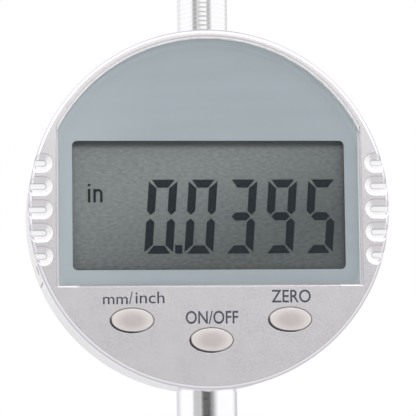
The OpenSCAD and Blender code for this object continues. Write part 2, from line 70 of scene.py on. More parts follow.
bezel_low, bezel_high = (Vector(corner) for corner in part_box("front_bezel"))
FACE_Y = bezel_low.y
CASE_Z = (bezel_low.z + bezel_high.z) / 2
CASE_R = (bezel_high.x - bezel_low.x) / 2
FACE_CENTRE = Vector((0, FACE_Y, CASE_Z))

# The print on the back of the window is a rectangle that ends in an arc at its top
mask_low, mask_high = (Vector(corner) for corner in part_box("window_mask"))
PRINT_HALF_W = mask_high.x
PRINT_LOW_Z = mask_low.z
PRINT_FOOT = PRINT_LOW_Z - CASE_Z
PRINT_ARC_R = 26.39 * MM
PRINT_ARC_Z = mask_high.z - PRINT_ARC_R
DISPLAY_TOP_Z = CASE_Z + 10.63 * MM
DISPLAY_HALF_W = 21 * MM
DISPLAY_HALF_H = 10 * MM

# ---------------------------------------------------------------------------
# Sizes of the pieces shaped here
# ---------------------------------------------------------------------------

LABEL_FILM = 0.01 * MM

# Gap between the window and the bezel that the bead fills, from the print's arc and from the face
BEAD_INNER = 0.16 * MM
BEAD_OUTER = 0.36 * MM
BEAD_TOP = 0.12 * MM
BEAD_FLOOR = 0.5 * MM

SPRING_WIRE = 0.2 * MM
SPRING_TURNS = 13

BUTTON_FLANGE = 0.6 * MM
BUTTON_FLANGE_THICK = 0.6 * MM
BUTTON_FLANGE_DEPTH = 2.35 * MM
BUTTON_DRAFT = 0.22 * MM
BUTTON_EDGE = 0.1 * MM
BUTTON_CROWN = 0.14 * MM
BUTTON_PLUNGER_R = 1.2 * MM

PLUG_CORNER = 0.6 * MM
PLUG_SMALLEST_CORNER = 0.12 * MM

# In mm: how far the plug's shank is set in, and how deep the middles of its ribs lie
PLUG_SHANK = 0.15
PLUG_RIBS = (2.8, 4.3)

# ---------------------------------------------------------------------------
# Node helpers
# ---------------------------------------------------------------------------


class Shader:
    """A material with one Principled shader and short calls for the nodes that feed it."""

    def __init__(self, name, color, metallic=0.0, roughness=0.5):
        self.material = bpy.data.materials.new(name)
        self.material.use_nodes = True
        self.tree = self.material.node_tree
        self.bsdf = self.tree.nodes["Principled BSDF"]
        self.output = self.tree.nodes["Material Output"]
        self.bsdf.inputs["Base Color"].default_value = (*color, 1)
        self.bsdf.inputs["Metallic"].default_value = metallic
        self.bsdf.inputs["Roughness"].default_value = roughness
        self.position = self.tree.nodes.new("ShaderNodeTexCoord").outputs["Object"]

    def link(self, source, target):
        self.tree.links.new(source, target)

    def node(self, kind, **settings):
        node = self.tree.nodes.new(kind)
        for key, value in settings.items():
            setattr(node, key, value)
        return node

    def math(self, operation, a, b=0.0):
        node = self.node("ShaderNodeMath", operation=operation)
        for socket, value in zip(node.inputs, (a, b)):
            if isinstance(value, (int, float)):
                socket.default_value = value
            else:
                self.link(value, socket)
        return node.outputs[0]

    def product(self, first, *others):
        """Values multiplied together."""
        result = first
        for factor in others:
            result = self.math("MULTIPLY", result, factor)
        return result

    def distance(self, across, up):
        """Length of the flat vector (across, up)."""
        return self.math("SQRT", self.math("ADD", self.product(across, across), self.product(up, up)))

    def separate(self, vector):
        node = self.node("ShaderNodeSeparateXYZ")
        self.link(vector, node.inputs[0])
        return node.outputs

    def noise(self, scale, detail=3.0, stretch=(1, 1, 1)):
        """Noise from 0 to 1. A stretch below 1 draws it out along that axis, and above 1 squeezes it."""
        mapping = self.node("ShaderNodeMapping")
        mapping.inputs["Scale"].default_value = stretch
        self.link(self.position, mapping.inputs["Vector"])
        node = self.node("ShaderNodeTexNoise")
        node.inputs["Scale"].default_value = scale
        node.inputs["Detail"].default_value = detail
        self.link(mapping.outputs[0], node.inputs["Vector"])
        return node.outputs["Fac"]

    def ramp(self, value, low, high, out_low=0.0, out_high=1.0, smooth=False):
        """Value moved from the range low to high into the range out_low to out_high, and held at its ends."""
        node = self.node("ShaderNodeMapRange")
        node.interpolation_type = "SMOOTHSTEP" if smooth else "LINEAR"
        for socket, number in zip(node.inputs[1:5], (low, high, out_low, out_high)):
            socket.default_value = number
        self.link(value, node.inputs[0])
        return node.outputs[0]

    def mix(self, factor, color_a, color_b):
        """Colour that goes from color_a at factor 0 to color_b at factor 1."""
        node = self.node("ShaderNodeMix", data_type="RGBA")
        self.link(factor, node.inputs["Factor"])
        for socket, value in ((node.inputs[6], color_a), (node.inputs[7], color_b)):
            if isinstance(value, tuple):
                socket.default_value = (*value, 1)
            else:
                self.link(value, socket)
        return node.outputs[2]

    def tones(self, value, stops):
        """Colour by a value from 0 to 1 through (place, colour) stops."""
        node = self.node("ShaderNodeValToRGB")
        band = node.color_ramp.elements
        band.remove(band[1])
        band[0].color = (*stops[0][1], 1)
        for place, color in stops[1:]:
            band.new(place).color = (*color, 1)
        self.link(value, node.inputs[0])
        return node.outputs[0]

    def bump(self, height, distance, strength):
        """Fine relief on the surface normal."""
        node = self.node("ShaderNodeBump")
        node.inputs["Distance"].default_value = distance
        node.inputs["Strength"].default_value = strength
        self.link(height, node.inputs["Height"])
        self.link(node.outputs[0], self.bsdf.inputs["Normal"])
        return node

    def set(self, socket, value):
        if isinstance(value, (int, float, tuple)):
            self.bsdf.inputs[socket].default_value = value
        else:
            self.link(value, self.bsdf.inputs[socket])


def srgb(red, green, blue):
    """Linear colour of an 8-bit display colour."""
    return tuple(((v / 255 + 0.055) / 1.055) ** 2.4 for v in (red, green, blue))


# Bezel
SATIN = srgb(206, 203, 207)
SATIN_DULL = srgb(217, 214, 218)
SATIN_CLEAR = srgb(226, 223, 227)
SATIN_SPARK = srgb(232, 229, 233)
# Painted shade for edges of the satin face
EDGE_SHADE = srgb(180, 173, 174)
# Painted reflection along the rim's outer edge, and its darker tone at the top
RIM_REFLECTION = srgb(214, 210, 220)
RIM_REFLECTION_TOP = srgb(190, 186, 196)
# Painted shade where the pocket slopes fold into the floor
FOLD_SHADE = srgb(168, 164, 168)
POLISHED = srgb(250, 247, 251)
# White of the pocket floors and of their painted highlights
POCKET_WHITE = srgb(252, 252, 253)
EDGE_SOFTNESS = 0.24 * MM

# Finger pockets: painted light and shade, toned by how far the softened surface leans, from facing down to
# facing up
SCOOP_LIGHT_AND_SHADE = (
    (0.0, srgb(222, 219, 222)),
    (0.165, srgb(222, 219, 222)),
    (0.25, srgb(196, 193, 195)),
    (0.33, srgb(150, 146, 147)),
    (0.42, srgb(196, 193, 195)),
    (0.5, POCKET_WHITE),
    (0.58, srgb(222, 219, 222)),
    (0.73, srgb(230, 227, 230)),
    (0.83, srgb(248, 246, 249)),
    (0.9, srgb(190, 187, 190)),
    (1.0, srgb(164, 161, 164)),
)

# Stem and dust cap
PLATING = srgb(248, 247, 249)
# Painted shade where the plating turns out of sight
PLATING_EDGE_SHADE = srgb(226, 224, 233)
# Painted highlight on the ring crests and painted shade on their flanks
RING_CREST_HIGHLIGHT = srgb(249, 248, 250)
RING_FLANK_SHADE = srgb(245, 243, 245)

# Share of the dust cap rings' up and down tilt that reaches the reflections
RING_RIPPLE = 0.23

# Window
EDGE_HIGHLIGHT_WHITE = srgb(250, 250, 252)
# Painted highlight on the window's border
PRINT_DULL = srgb(159, 170, 176)
PRINT_CLEAR = srgb(163, 174, 180)
PRINT_LEFT = srgb(173, 184, 189)
# Painted light along the window's arc
PRINT_ARC = srgb(184, 195, 200)


def give(material, *names):
    """Puts a material in every slot of the named CAD nodes."""
    for name in names:
        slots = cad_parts[name].data.materials
        slots.clear()
        slots.append(material)


# ---------------------------------------------------------------------------
# Materials
# ---------------------------------------------------------------------------


class BezelZones:
    """Where a point of the bezel lies, and how far each kind of surface covers it."""

    def __init__(self, s):
        x, y, z = s.separate(s.position)
        self.depth = s.math("SUBTRACT", y, FACE_Y)
        self.height = s.math("SUBTRACT", z, CASE_Z)
        self.reach = s.distance(x, self.height)
        normal = s.node("ShaderNodeNewGeometry").outputs["True Normal"]
        facing = s.ramp(s.separate(normal)[1], -0.995, -0.98, 1, 0)
        self.satin = s.product(facing, s.ramp(self.depth, 0.05 * MM, 0.1 * MM, 1, 0))
        in_rim = s.ramp(self.reach, CASE_R - 0.52 * MM, CASE_R - 0.5 * MM)
        self.polished = s.product(in_rim, s.math("SUBTRACT", 1, facing))
        soft = s.node("ShaderNodeBevel", samples=8)
        soft.inputs["Radius"].default_value = EDGE_SOFTNESS
        self.soft_normal = soft.outputs[0]
        self.lean_x, _, self.lean_z = s.separate(self.soft_normal)
        self.lean_aside = s.math("ABSOLUTE", self.lean_x)
        # Edges that lean up; the painted highlights and the painted shade of the window lip use this mask.
        self.lit_edge = s.ramp(self.lean_z, 0.05, 0.3)
        from_middle = s.math("ABSOLUTE", x)
        self.between_pockets = s.ramp(from_middle, 20 * MM, 20.5 * MM, 1, 0)
        self.at_pockets = s.ramp(from_middle, 20.9 * MM, 21.3 * MM, 0.2, 1)


def satin_tone(s, zones, grain):
    """Blasted face: mottled and sparkling, painted lighter towards the top, with painted highlights on edges
    that lean up and painted shade on edges that lean down or aside and on the lip under the window.
    """
    mottle = s.ramp(s.noise(350, 4), 0.35, 0.65)
    cloud = s.mix(mottle, SATIN_DULL, SATIN_CLEAR)
    speckled = s.mix(s.ramp(grain, 0.35, 0.65), cloud, SATIN_SPARK)
    # Painted light: the face is painted paler towards the top, where more light falls on it.
    painted_top_light = s.ramp(zones.height, -6 * MM, 20 * MM, 0, 0.5, smooth=True)
    top_lit_satin = s.mix(painted_top_light, speckled, POLISHED)
    # Painted highlight: edges that lean up are painted white, fully at the finger pockets and faintly
    # elsewhere.
    highlighted_face = s.mix(s.product(zones.lit_edge, zones.at_pockets), top_lit_satin, POCKET_WHITE)
    # Painted shade: edges that lean down or aside are painted dark, below the top of the face.
    turned_down = s.ramp(zones.lean_z, -0.3, -0.05, 1, 0)
    turned_aside = s.ramp(zones.lean_aside, 0.05, 0.35, 0, 0.8)
    below_top = s.ramp(zones.height, 8 * MM, 12 * MM, 1, 0)
    painted_edge_shade = s.product(s.math("MAXIMUM", turned_down, turned_aside), below_top)
    # Painted shade: the upward edge just under the window is painted dark in place of its highlight.
    near_window = s.ramp(zones.height, PRINT_FOOT - 0.9 * MM, PRINT_FOOT - 0.5 * MM)
    window_lip_shade = s.product(zones.lit_edge, zones.between_pockets, near_window)
    return s.mix(s.math("MAXIMUM", painted_edge_shade, window_lip_shade), highlighted_face, EDGE_SHADE)


def pocket_tone(s, zones):
    """Smooth walls of the finger pockets with painted light and shade, and the ledge under the window."""
    scoop_painted_light = s.tones(s.ramp(zones.lean_z, -1, 1), SCOOP_LIGHT_AND_SHADE)
    # Painted highlight: pocket walls that lean aside are painted white.
    walls = s.mix(s.ramp(zones.lean_aside, 0.15, 0.5), scoop_painted_light, POCKET_WHITE)
    # Painted shade: a dark line where the slopes fold into the pocket floor.
    lean = s.distance(zones.lean_x, zones.lean_z)
    crease_shade = s.product(s.ramp(lean, 0.08, 0.25), s.ramp(lean, 0.4, 0.6, 1, 0))
    at_floor = s.ramp(zones.depth, 0.5 * MM, 0.65 * MM)
    scoop = s.mix(s.product(crease_shade, at_floor), walls, FOLD_SHADE)
    # Painted highlight: upward edges near the face are painted white at the pockets.
    near_face = s.ramp(zones.depth, 0.1 * MM, 0.45 * MM, 1, 0)
    crest_highlight = s.product(near_face, zones.lit_edge, zones.at_pockets)
    pocket = s.mix(crest_highlight, scoop, POCKET_WHITE)
    under_print = s.ramp(zones.height, PRINT_FOOT, PRINT_FOOT + 0.1 * MM, 1, 0)
    return s.mix(s.product(under_print, zones.between_pockets), pocket, SATIN)


def rim_tone(s, zones):
    """Polished rim with a soft darker painted reflection at the front of its outer edge, darker towards the
    top.
    """
    outermost = s.ramp(zones.reach, CASE_R - 0.35 * MM, CASE_R - 0.12 * MM)
    front_part = s.ramp(zones.depth, 0.9 * MM, 1.3 * MM, 1, 0)
    # Painted reflection: a darker band, darker still towards the top of the rim.
    rim_edge_reflection = s.mix(s.ramp(zones.height, 0, 24 * MM), RIM_REFLECTION, RIM_REFLECTION_TOP)
    return s.mix(s.product(outermost, front_part), POLISHED, rim_edge_reflection)


def bezel_metal():
    """Blasted satin face, bright soft finger pockets, and a polished rim."""
    s = Shader("bezel_metal", SATIN)
    zones = BezelZones(s)
    grain = s.noise(3600, 2)
    inside_rim = s.mix(zones.satin, pocket_tone(s, zones), satin_tone(s, zones, grain))
    s.set("Base Color", s.mix(zones.polished, inside_rim, rim_tone(s, zones)))
    satin_metal = s.ramp(zones.satin, 0, 1, 0.15, 0.85)
    s.set("Metallic", s.math("ADD", satin_metal, s.ramp(zones.polished, 0, 1, 0, 0.75)))
    satin_rough = s.ramp(zones.satin, 0, 1, 0.35, 0.26)
    s.set("Roughness", s.math("SUBTRACT", satin_rough, s.ramp(zones.polished, 0, 1, 0, 0.2)))
    relief = s.bump(s.product(grain, zones.satin), 0.02 * MM, 0.13)
    s.link(zones.soft_normal, relief.inputs["Normal"])
    return s.material


def chrome_metal():
    """Polished plating with faint turning marks, and painted shade where it turns out of sight."""
    s = Shader("chrome", PLATING, metallic=1.0, roughness=0.08)
    marks = s.noise(400, 3, (1, 1, 14))
    facing = s.node("ShaderNodeLayerWeight").outputs["Facing"]
    # Painted shade: the plating is painted darker where it turns away.
    s.set("Base Color", s.mix(s.ramp(facing, 0.42, 0.72), PLATING, PLATING_EDGE_SHADE))
    s.set("Roughness", s.ramp(marks, 0.3, 0.7, 0.06, 0.13))
    s.bump(marks, 0.002 * MM, 0.3)
    return s.material


def ringed_metal():
    """Plating over fine turned rings, which ripple the reflections up and down only a little, with the crests
    painted a touch lighter than the flanks as a painted highlight.
    """
    s = Shader("ringed_chrome", PLATING, metallic=1.0, roughness=0.1)
    normal = s.node("ShaderNodeNewGeometry").outputs["Normal"]
    flatten = s.node("ShaderNodeVectorMath", operation="MULTIPLY")
    flatten.inputs[1].default_value = (1, 1, RING_RIPPLE)
    even = s.node("ShaderNodeVectorMath", operation="NORMALIZE")
    s.link(normal, flatten.inputs[0])
    s.link(flatten.outputs[0], even.inputs[0])
    s.link(even.outputs[0], s.bsdf.inputs["Normal"])
    slant = s.math("ABSOLUTE", s.separate(normal)[2])
    # Painted highlight on the crests, painted shade on the flanks.
    s.set("Base Color", s.mix(s.ramp(slant, 0.04, 0.22), RING_CREST_HIGHLIGHT, RING_FLANK_SHADE))
    s.set("Roughness", s.ramp(s.noise(600, 3, (1, 1, 6)), 0.3, 0.7, 0.1, 0.2))
    return s.material


def steel_metal():
    """Ground steel with fine marks round the axis."""
    s = Shader("ground_steel", srgb(214, 214, 216), metallic=1.0, roughness=0.25)
    marks = s.noise(700, 4, (1, 1, 20))
    s.set("Roughness", s.ramp(marks, 0.3, 0.7, 0.18, 0.32))
    s.bump(marks, 0.003 * MM, 0.4)
    return s.material


def brass_metal():
    """Turned brass with slow tone changes."""
    dull = srgb(205, 168, 92)
    clear = srgb(222, 190, 118)
    s = Shader("turned_brass", dull, metallic=1.0, roughness=0.25)
    marks = s.noise(900, 3, (1, 1, 12))
    s.set("Roughness", s.ramp(marks, 0.3, 0.7, 0.2, 0.36))
    s.set("Base Color", s.mix(s.noise(150, 2), dull, clear))
    return s.material


def polished_case():
    """Polished plated case wall with slow ripples and fine buffing marks."""
    dull = srgb(236, 233, 240)
    clear = srgb(246, 244, 248)
    s = Shader("polished_case", clear, metallic=0.9, roughness=0.18)
    buff = s.noise(500, 4, (1, 8, 1))
    s.set("Base Color", s.mix(s.noise(50, 3), dull, clear))
    s.set("Roughness", s.ramp(buff, 0.3, 0.7, 0.14, 0.24))
    s.bump(buff, 0.003 * MM, 0.3)
    return s.material


def cast_metal():
    """Die-cast lug back with a fine satin paint."""
    dull = srgb(182, 181, 189)
    clear = srgb(198, 197, 204)
    s = Shader("cast_metal", clear, metallic=0.5, roughness=0.42)
    grain = s.noise(5000, 2)
    s.set("Base Color", s.mix(s.noise(40, 4), dull, clear))
    s.set("Roughness", s.ramp(grain, 0.3, 0.7, 0.36, 0.5))
    s.bump(grain, 0.01 * MM, 0.3)
    return s.material


def plastic(name, color, roughness, grain_scale=5000, depth=0.006):
    """Moulded plastic with a fine spark texture and slow tone changes."""
    s = Shader(name, color, roughness=roughness)
    grain = s.noise(grain_scale, 2)
    darker = tuple(v * 0.9 for v in color)
    s.set("Base Color", s.mix(s.noise(120, 3), darker, color))
    s.set("Roughness", s.ramp(grain, 0.3, 0.7, roughness - 0.06, roughness + 0.06))
    s.bump(grain, depth * MM, 0.4)
    return s.material


def button_finish():
    """Warm grey key plastic: a painted highlight round the rim of the top, and painted shade on the sides
    turned from the light.
    """
    dull = srgb(190, 182, 180)
    clear = srgb(196, 188, 186)
    rim_highlight = srgb(220, 214, 211)
    side_shade = srgb(88, 86, 88)
    s = Shader("button_plastic", dull, roughness=0.3)
    place_x, _, place_z = s.separate(s.node("ShaderNodeTexCoord").outputs["Generated"])
    across, up = (s.math("SUBTRACT", s.math("MULTIPLY", place, 2), 1) for place in (place_x, place_z))
    # Painted highlight: the top is painted paler towards its rim.
    near_rim = s.ramp(s.distance(across, up), 0.25, 0.8, smooth=True)
    top = s.mix(near_rim, s.mix(s.noise(120, 3), dull, clear), rim_highlight)
    # Painted shade: sides that face away from the light are painted dark.
    normal_x, _, normal_z = s.separate(s.node("ShaderNodeNewGeometry").outputs["True Normal"])
    towards_light = s.math("ADD", s.math("MULTIPLY", normal_x, 0.75), s.math("MULTIPLY", normal_z, 0.66))
    turned_away = s.ramp(towards_light, -0.62, -0.3, 1, 0)
    s.set("Base Color", s.mix(turned_away, top, side_shade))
    grain = s.noise(5000, 2)
    s.set("Roughness", s.ramp(grain, 0.3, 0.7, 0.26, 0.34))
    s.bump(grain, 0.004 * MM, 0.3)
    return s.material


def arc_reach(s):
    """Distance from the centre of the window's arc."""
    x, _, z = s.separate(s.position)
    return s.distance(x, s.math("SUBTRACT", z, PRINT_ARC_Z))


def mask_print():
    """Blue-grey ink printed on the back of the window, paler at the left, and painted lighter along the arc
    against the shade of the recess.
    """
    s = Shader("mask_print", PRINT_DULL, roughness=0.5)
    streaks = s.ramp(s.noise(500, 3, (0.12, 1, 1)), 0.35, 0.65)
    cloud = s.mix(streaks, PRINT_DULL, PRINT_CLEAR)
    from_left = s.ramp(s.separate(s.position)[0], -22 * MM, -8 * MM)
    # Painted light: the print is painted paler near the arc, where the recess shades it.
    near_arc = s.ramp(arc_reach(s), PRINT_ARC_R - 1.4 * MM, PRINT_ARC_R - 0.1 * MM, smooth=True)
    s.set("Base Color", s.mix(near_arc, s.mix(from_left, PRINT_LEFT, cloud), PRINT_ARC))
    s.set("Roughness", s.ramp(s.noise(7000, 1), 0.3, 0.7, 0.45, 0.55))
    return s.material


def display_glass():
    """Grey-green display: painted light at the upper left, painted shade under its frame at the top, and a
    fine grain.
    """
    bright = (srgb(122, 128, 128), srgb(136, 142, 141))
    shaded = (srgb(84, 89, 90), srgb(99, 104, 104))
    frame_shadow = srgb(58, 64, 66)
    s = Shader("display_glass", bright[0], roughness=0.3)
    x, _, z = s.separate(s.position)
    across = s.math("MULTIPLY", x, 1 / DISPLAY_HALF_W)
    up = s.math("MULTIPLY", s.math("SUBTRACT", z, CASE_Z), 1 / DISPLAY_HALF_H)
    # Painted light and shade: brighter at the upper left, darker towards the lower right.
    fall = s.math("SUBTRACT", s.math("MULTIPLY", across, 0.7), s.math("MULTIPLY", up, 0.85))
    shade = s.ramp(fall, -0.85, 0.85, 0, 1, smooth=True)
    grain = s.ramp(s.noise(3000, 2, (0.4, 1, 1)), 0.36, 0.64)
    tone = s.mix(shade, s.mix(grain, *bright), s.mix(grain, *shaded))
    # Painted shade under the top edge of the frame, deepening the shadow it casts.
    under_frame = s.ramp(z, DISPLAY_TOP_Z - 1.3 * MM, DISPLAY_TOP_Z - 0.3 * MM, 0, 0.8, smooth=True)
    s.set("Base Color", s.mix(under_frame, tone, frame_shadow))
    s.set("Specular IOR Level", 0.12)
    return s.material


def flat_ink(name, dull, clear, scale, roughness):
    """Dark ink with slight tone changes."""
    s = Shader(name, dull, roughness=roughness)
    s.set("Base Color", s.mix(s.noise(scale, 2), dull, clear))
    return s


def segment_ink():
    """Dark segments of the display, almost without gloss."""
    s = flat_ink("segment_ink", srgb(22, 30, 37), srgb(31, 39, 46), 200, 0.35)
    s.set("Specular IOR Level", 0.12)
    return s.material


def label_ink():
    """Dark blue-grey ink of the printed labels."""
    return flat_ink("label_ink", srgb(60, 62, 74), srgb(76, 78, 90), 900, 0.55).material


def clear_pane(s):
    """Clear glass with a Fresnel gloss on its outer faces."""
    gloss = s.node("ShaderNodeBsdfGlossy")
    gloss.inputs["Roughness"].default_value = 0.02
    fresnel = s.node("ShaderNodeFresnel")
    fresnel.inputs["IOR"].default_value = 1.3
    inside = s.node("ShaderNodeNewGeometry").outputs["Backfacing"]
    pane = s.node("ShaderNodeMixShader")
    s.link(s.product(fresnel.outputs[0], s.math("SUBTRACT", 1, inside)), pane.inputs[0])
    s.link(s.node("ShaderNodeBsdfTransparent").outputs[0], pane.inputs[1])
    s.link(gloss.outputs[0], pane.inputs[2])
    return pane.outputs[0]


def lens_glass():
    """Clear window with a painted highlight, a mottled white line, on the border outside its print, bright
    only along the arc.
    """
    s = Shader("lens_glass", EDGE_HIGHLIGHT_WHITE, roughness=0.35)
    x, _, z = s.separate(s.position)
    beyond_side = s.math("SUBTRACT", s.math("ABSOLUTE", x), PRINT_HALF_W)
    below_print = s.math("SUBTRACT", PRINT_LOW_Z, z)
    beyond_arc = s.math("SUBTRACT", arc_reach(s), PRINT_ARC_R)
    outside = s.math("MAXIMUM", s.math("MAXIMUM", beyond_side, below_print), beyond_arc)
    # Painted highlight: a mottled white line outside the print, mostly along the arc.
    border = s.ramp(outside, 0.0, 0.03 * MM)
    highlight_mottle = s.ramp(s.noise(900, 2), 0.3, 0.7, 0.75, 1)
    along_arc = s.ramp(beyond_arc, -0.1 * MM, 0.0, 0.05, 1)
    finish = s.node("ShaderNodeMixShader")
    s.link(s.product(border, highlight_mottle, along_arc), finish.inputs[0])
    s.link(clear_pane(s), finish.inputs[1])
    s.link(s.bsdf.outputs[0], finish.inputs[2])
    s.link(finish.outputs[0], s.output.inputs["Surface"])
    return s.material


def circuit_board():
    """Green solder mask with copper traces showing through."""
    mask = srgb(24, 92, 52)
    trace = srgb(60, 130, 70)
    s = Shader("circuit_board", mask, roughness=0.35)
    traces = s.node("ShaderNodeTexBrick")
    traces.inputs["Scale"].default_value = 600
    traces.inputs["Mortar Size"].default_value = 0.03
    s.link(s.position, traces.inputs["Vector"])
    s.set("Base Color", s.mix(traces.outputs["Fac"], mask, trace))
    return s.material


def copper_laminate():
    """Etched electrode bars on the scale strip."""
    copper = srgb(206, 148, 92)
    laminate = srgb(60, 70, 50)
    bar_pitch = 1.27 * MM
    copper_share = 0.6
    s = Shader("copper_laminate", copper, metallic=0.8, roughness=0.35)
    along = s.math("FRACT", s.math("MULTIPLY", s.separate(s.position)[2], 1 / bar_pitch))
    between_bars = s.math("GREATER_THAN", along, copper_share)
    s.set("Base Color", s.mix(between_bars, copper, laminate))
    return s.material


# ---------------------------------------------------------------------------
# Pieces shaped here
# ---------------------------------------------------------------------------


def show_piece(name, shape, material, body):
    """Object made from a finished bmesh, riding on a body and painted from a slot."""
    mesh = bpy.data.meshes.new(name)
    shape.to_mesh(mesh)
    shape.free()
    mesh.materials.append(material)
    piece = bpy.data.objects.new(name, mesh)
    bpy.context.collection.objects.link(piece)
    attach(piece, body)
    return piece


def loft(rings, smooth=False, tip=None):
    """Closed skin through rings of points: flat at both ends, or with a fan to a tip at the first one."""
    shape = bmesh.new()
    loops = [[shape.verts.new(point) for point in ring] for ring in rings]
    count = len(loops[0])
    for near, far in zip(loops, loops[1:]):
        for k in range(count):
            after = (k + 1) % count
            shape.faces.new((near[k], near[after], far[after], far[k])).smooth = smooth
    if tip is None:
        shape.faces.new(loops[0])
    else:
        point = shape.verts.new(tip)
        for k in range(count):
            shape.faces.new((point, loops[0][(k + 1) % count], loops[0][k])).smooth = smooth
    shape.faces.new(loops[-1][::-1])
    bmesh.ops.recalc_face_normals(shape, faces=shape.faces)
    return shape


# ---------------------------------------------------------------------------
# Printed labels on the face
# ---------------------------------------------------------------------------


def glyphs(name, words, left, bottom, width, height, weight):
    """Mesh of one run of letters, fitted to a box on the face."""
    curve = bpy.data.curves.new(name, "FONT")
    curve.body = words
    curve.offset = weight
    curve.resolution_u = 6
    text = bpy.data.objects.new(name, curve)
    bpy.context.collection.objects.link(text)
    bpy.context.view_layer.update()
    graph = bpy.context.evaluated_depsgraph_get()
    mesh = bpy.data.meshes.new_from_object(text.evaluated_get(graph))
    bpy.data.objects.remove(text)
    low_x = min(v.co.x for v in mesh.vertices)
    low_y = min(v.co.y for v in mesh.vertices)
    wide = max(v.co.x for v in mesh.vertices) - low_x
    tall = max(v.co.y for v in mesh.vertices) - low_y
    fit = Matrix.Diagonal((width / wide, height / tall, 1, 1))
    upright = Matrix.Rotation(math.radians(90), 4, "X")
    place = Matrix.Translation((left, FACE_Y - LABEL_FILM, CASE_Z + bottom))
    mesh.transform(place @ upright @ fit @ Matrix.Translation((-low_x, -low_y, 0)))
    return mesh


def face_label(name, runs, weight, ink):
    """Label on the face. A run holds its letters, then left, bottom, width and height in mm."""
    shape = bmesh.new()
    for words, *place in runs:
        shape.from_mesh(glyphs(name, words, *(v * MM for v in place), weight=weight))
    label = show_piece(name, shape, ink, "case")
    film = label.modifiers.new("film", "SOLIDIFY")
    film.thickness = LABEL_FILM


# ---------------------------------------------------------------------------
# Pale bead round the arc of the window, painted light over the gap's shade
# ---------------------------------------------------------------------------


def window_bead(material):
    """Pale bead that fills the gap between the arc of the window and the bezel, a fill that paints light
    where the gap would be shaded.
    """
    inner = PRINT_ARC_R + BEAD_INNER
    outer = PRINT_ARC_R + BEAD_OUTER
    corners = ((inner, BEAD_TOP), (outer, BEAD_TOP), (outer, BEAD_FLOOR), (inner, BEAD_FLOOR))
    reach = math.asin(PRINT_HALF_W / PRINT_ARC_R)
    steps = 120
    sections = []
    for step in range(steps + 1):
        angle = reach * (2 * step / steps - 1)
        sections.append([
            (radius * math.sin(angle), FACE_Y + depth, PRINT_ARC_Z + radius * math.cos(angle))
            for radius, depth in corners
        ])
    show_piece("window_bead", loft(sections), material, "case")


# ---------------------------------------------------------------------------
# Return spring, drawn at one fixed length
# ---------------------------------------------------------------------------


def coil_spring(material):
    """Helix of round wire with one closed turn at each end, held at its top."""
    low, high = (Vector(corner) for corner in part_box("return_spring"))
    coil_r = (high.x - low.x) / 2 - SPRING_WIRE
    length = high.z - low.z
    open_turns = SPRING_TURNS - 2
    closed_pitch = 2.2 * SPRING_WIRE
    open_pitch = (length - 2 * SPRING_WIRE - 2 * closed_pitch) / open_turns
    per_turn = 24
    sides = 8
    rings = []
    for step in range(per_turn * SPRING_TURNS + 1):
        turns = step / per_turn
        angle = 2 * math.pi * turns
        opened = min(max(turns - 1, 0), open_turns)
        height = low.z + SPRING_WIRE + closed_pitch * (turns - opened) + open_pitch * opened
        ring = []
        for k in range(sides):
            around = 2 * math.pi * k / sides
            reach = coil_r + SPRING_WIRE * math.cos(around)
            up = height + SPRING_WIRE * math.sin(around)
            ring.append((reach * math.cos(angle), reach * math.sin(angle), up))
        rings.append(ring)
    spring = show_piece("coil_spring", loft(rings, smooth=True), material, "case")
    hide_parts("return_spring")
    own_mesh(spring)


# ---------------------------------------------------------------------------
# Rubber plug of the data port, and soft edges for the plain blocks
# ---------------------------------------------------------------------------


def rounded_ring(centre, x, half_h, half_w, corner):
    """Points along a rounded rectangle that faces along X."""
    ring = []
    per_corner = 6
    for quarter in range(4):
        side_y = 1 if quarter in (0, 3) else -1
        side_z = 1 if quarter in (0, 1) else -1
        for k in range(per_corner):
            angle = math.radians(90) * (quarter + k / (per_corner - 1))
            y = centre.y + side_y * (half_h - corner) + corner * math.cos(angle)
            z = centre.z + side_z * (half_w - corner) + corner * math.sin(angle)
            ring.append((x, y, z))
    return ring


def rubber_plug(material):
    """Plug with a nail slot in its outer face, a rounded head and two sealing ribs on its shank."""
    low, high = (Vector(corner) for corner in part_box("port_plug"))
    centre = (low + high) / 2
    half_h = (high.y - low.y) / 2
    half_w = (high.z - low.z) / 2
    # How deep each section lies, and how far it is set in from the full outline, in mm
    nail_slot = [(0.3, 0.75), (0.2, 0.62), (0, 0.55)]
    head = [(0, 0.3), (0.08, 0.12), (0.25, 0), (1.5, 0), (1.65, PLUG_SHANK)]
    ribs = []
    for rib in PLUG_RIBS:
        ribs += [(rib - 0.3, PLUG_SHANK), (rib - 0.1, 0.03), (rib + 0.1, 0.03), (rib + 0.3, PLUG_SHANK)]
    length = (high.x - low.x) / MM
    end = [(length - 0.35, PLUG_SHANK), (length, 0.4)]
    rings = []
    for depth, inset in nail_slot + head + ribs + end:
        half_sizes = (half_h - inset * MM, half_w - inset * MM)
        corner = max(PLUG_CORNER - inset * MM, PLUG_SMALLEST_CORNER)
        rings.append(rounded_ring(centre, high.x - depth * MM, *half_sizes, corner))
    plug = show_piece("rubber_plug", loft(rings), material, "plug")
    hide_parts("port_plug")


def soften(width, *names):
    """Joins the faces of plain CAD blocks and rounds their sharp edges."""
    for name in names:
        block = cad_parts[name]
        block.modifiers.new("joined", "WELD").merge_threshold = 0.001 * MM
        edge = block.modifiers.new("soft_edges", "BEVEL")
        edge.width = width
        edge.segments = 3
        edge.limit_method = "ANGLE"
        edge.angle_limit = math.radians(40)


# ---------------------------------------------------------------------------
# Pillow-shaped buttons
# ---------------------------------------------------------------------------


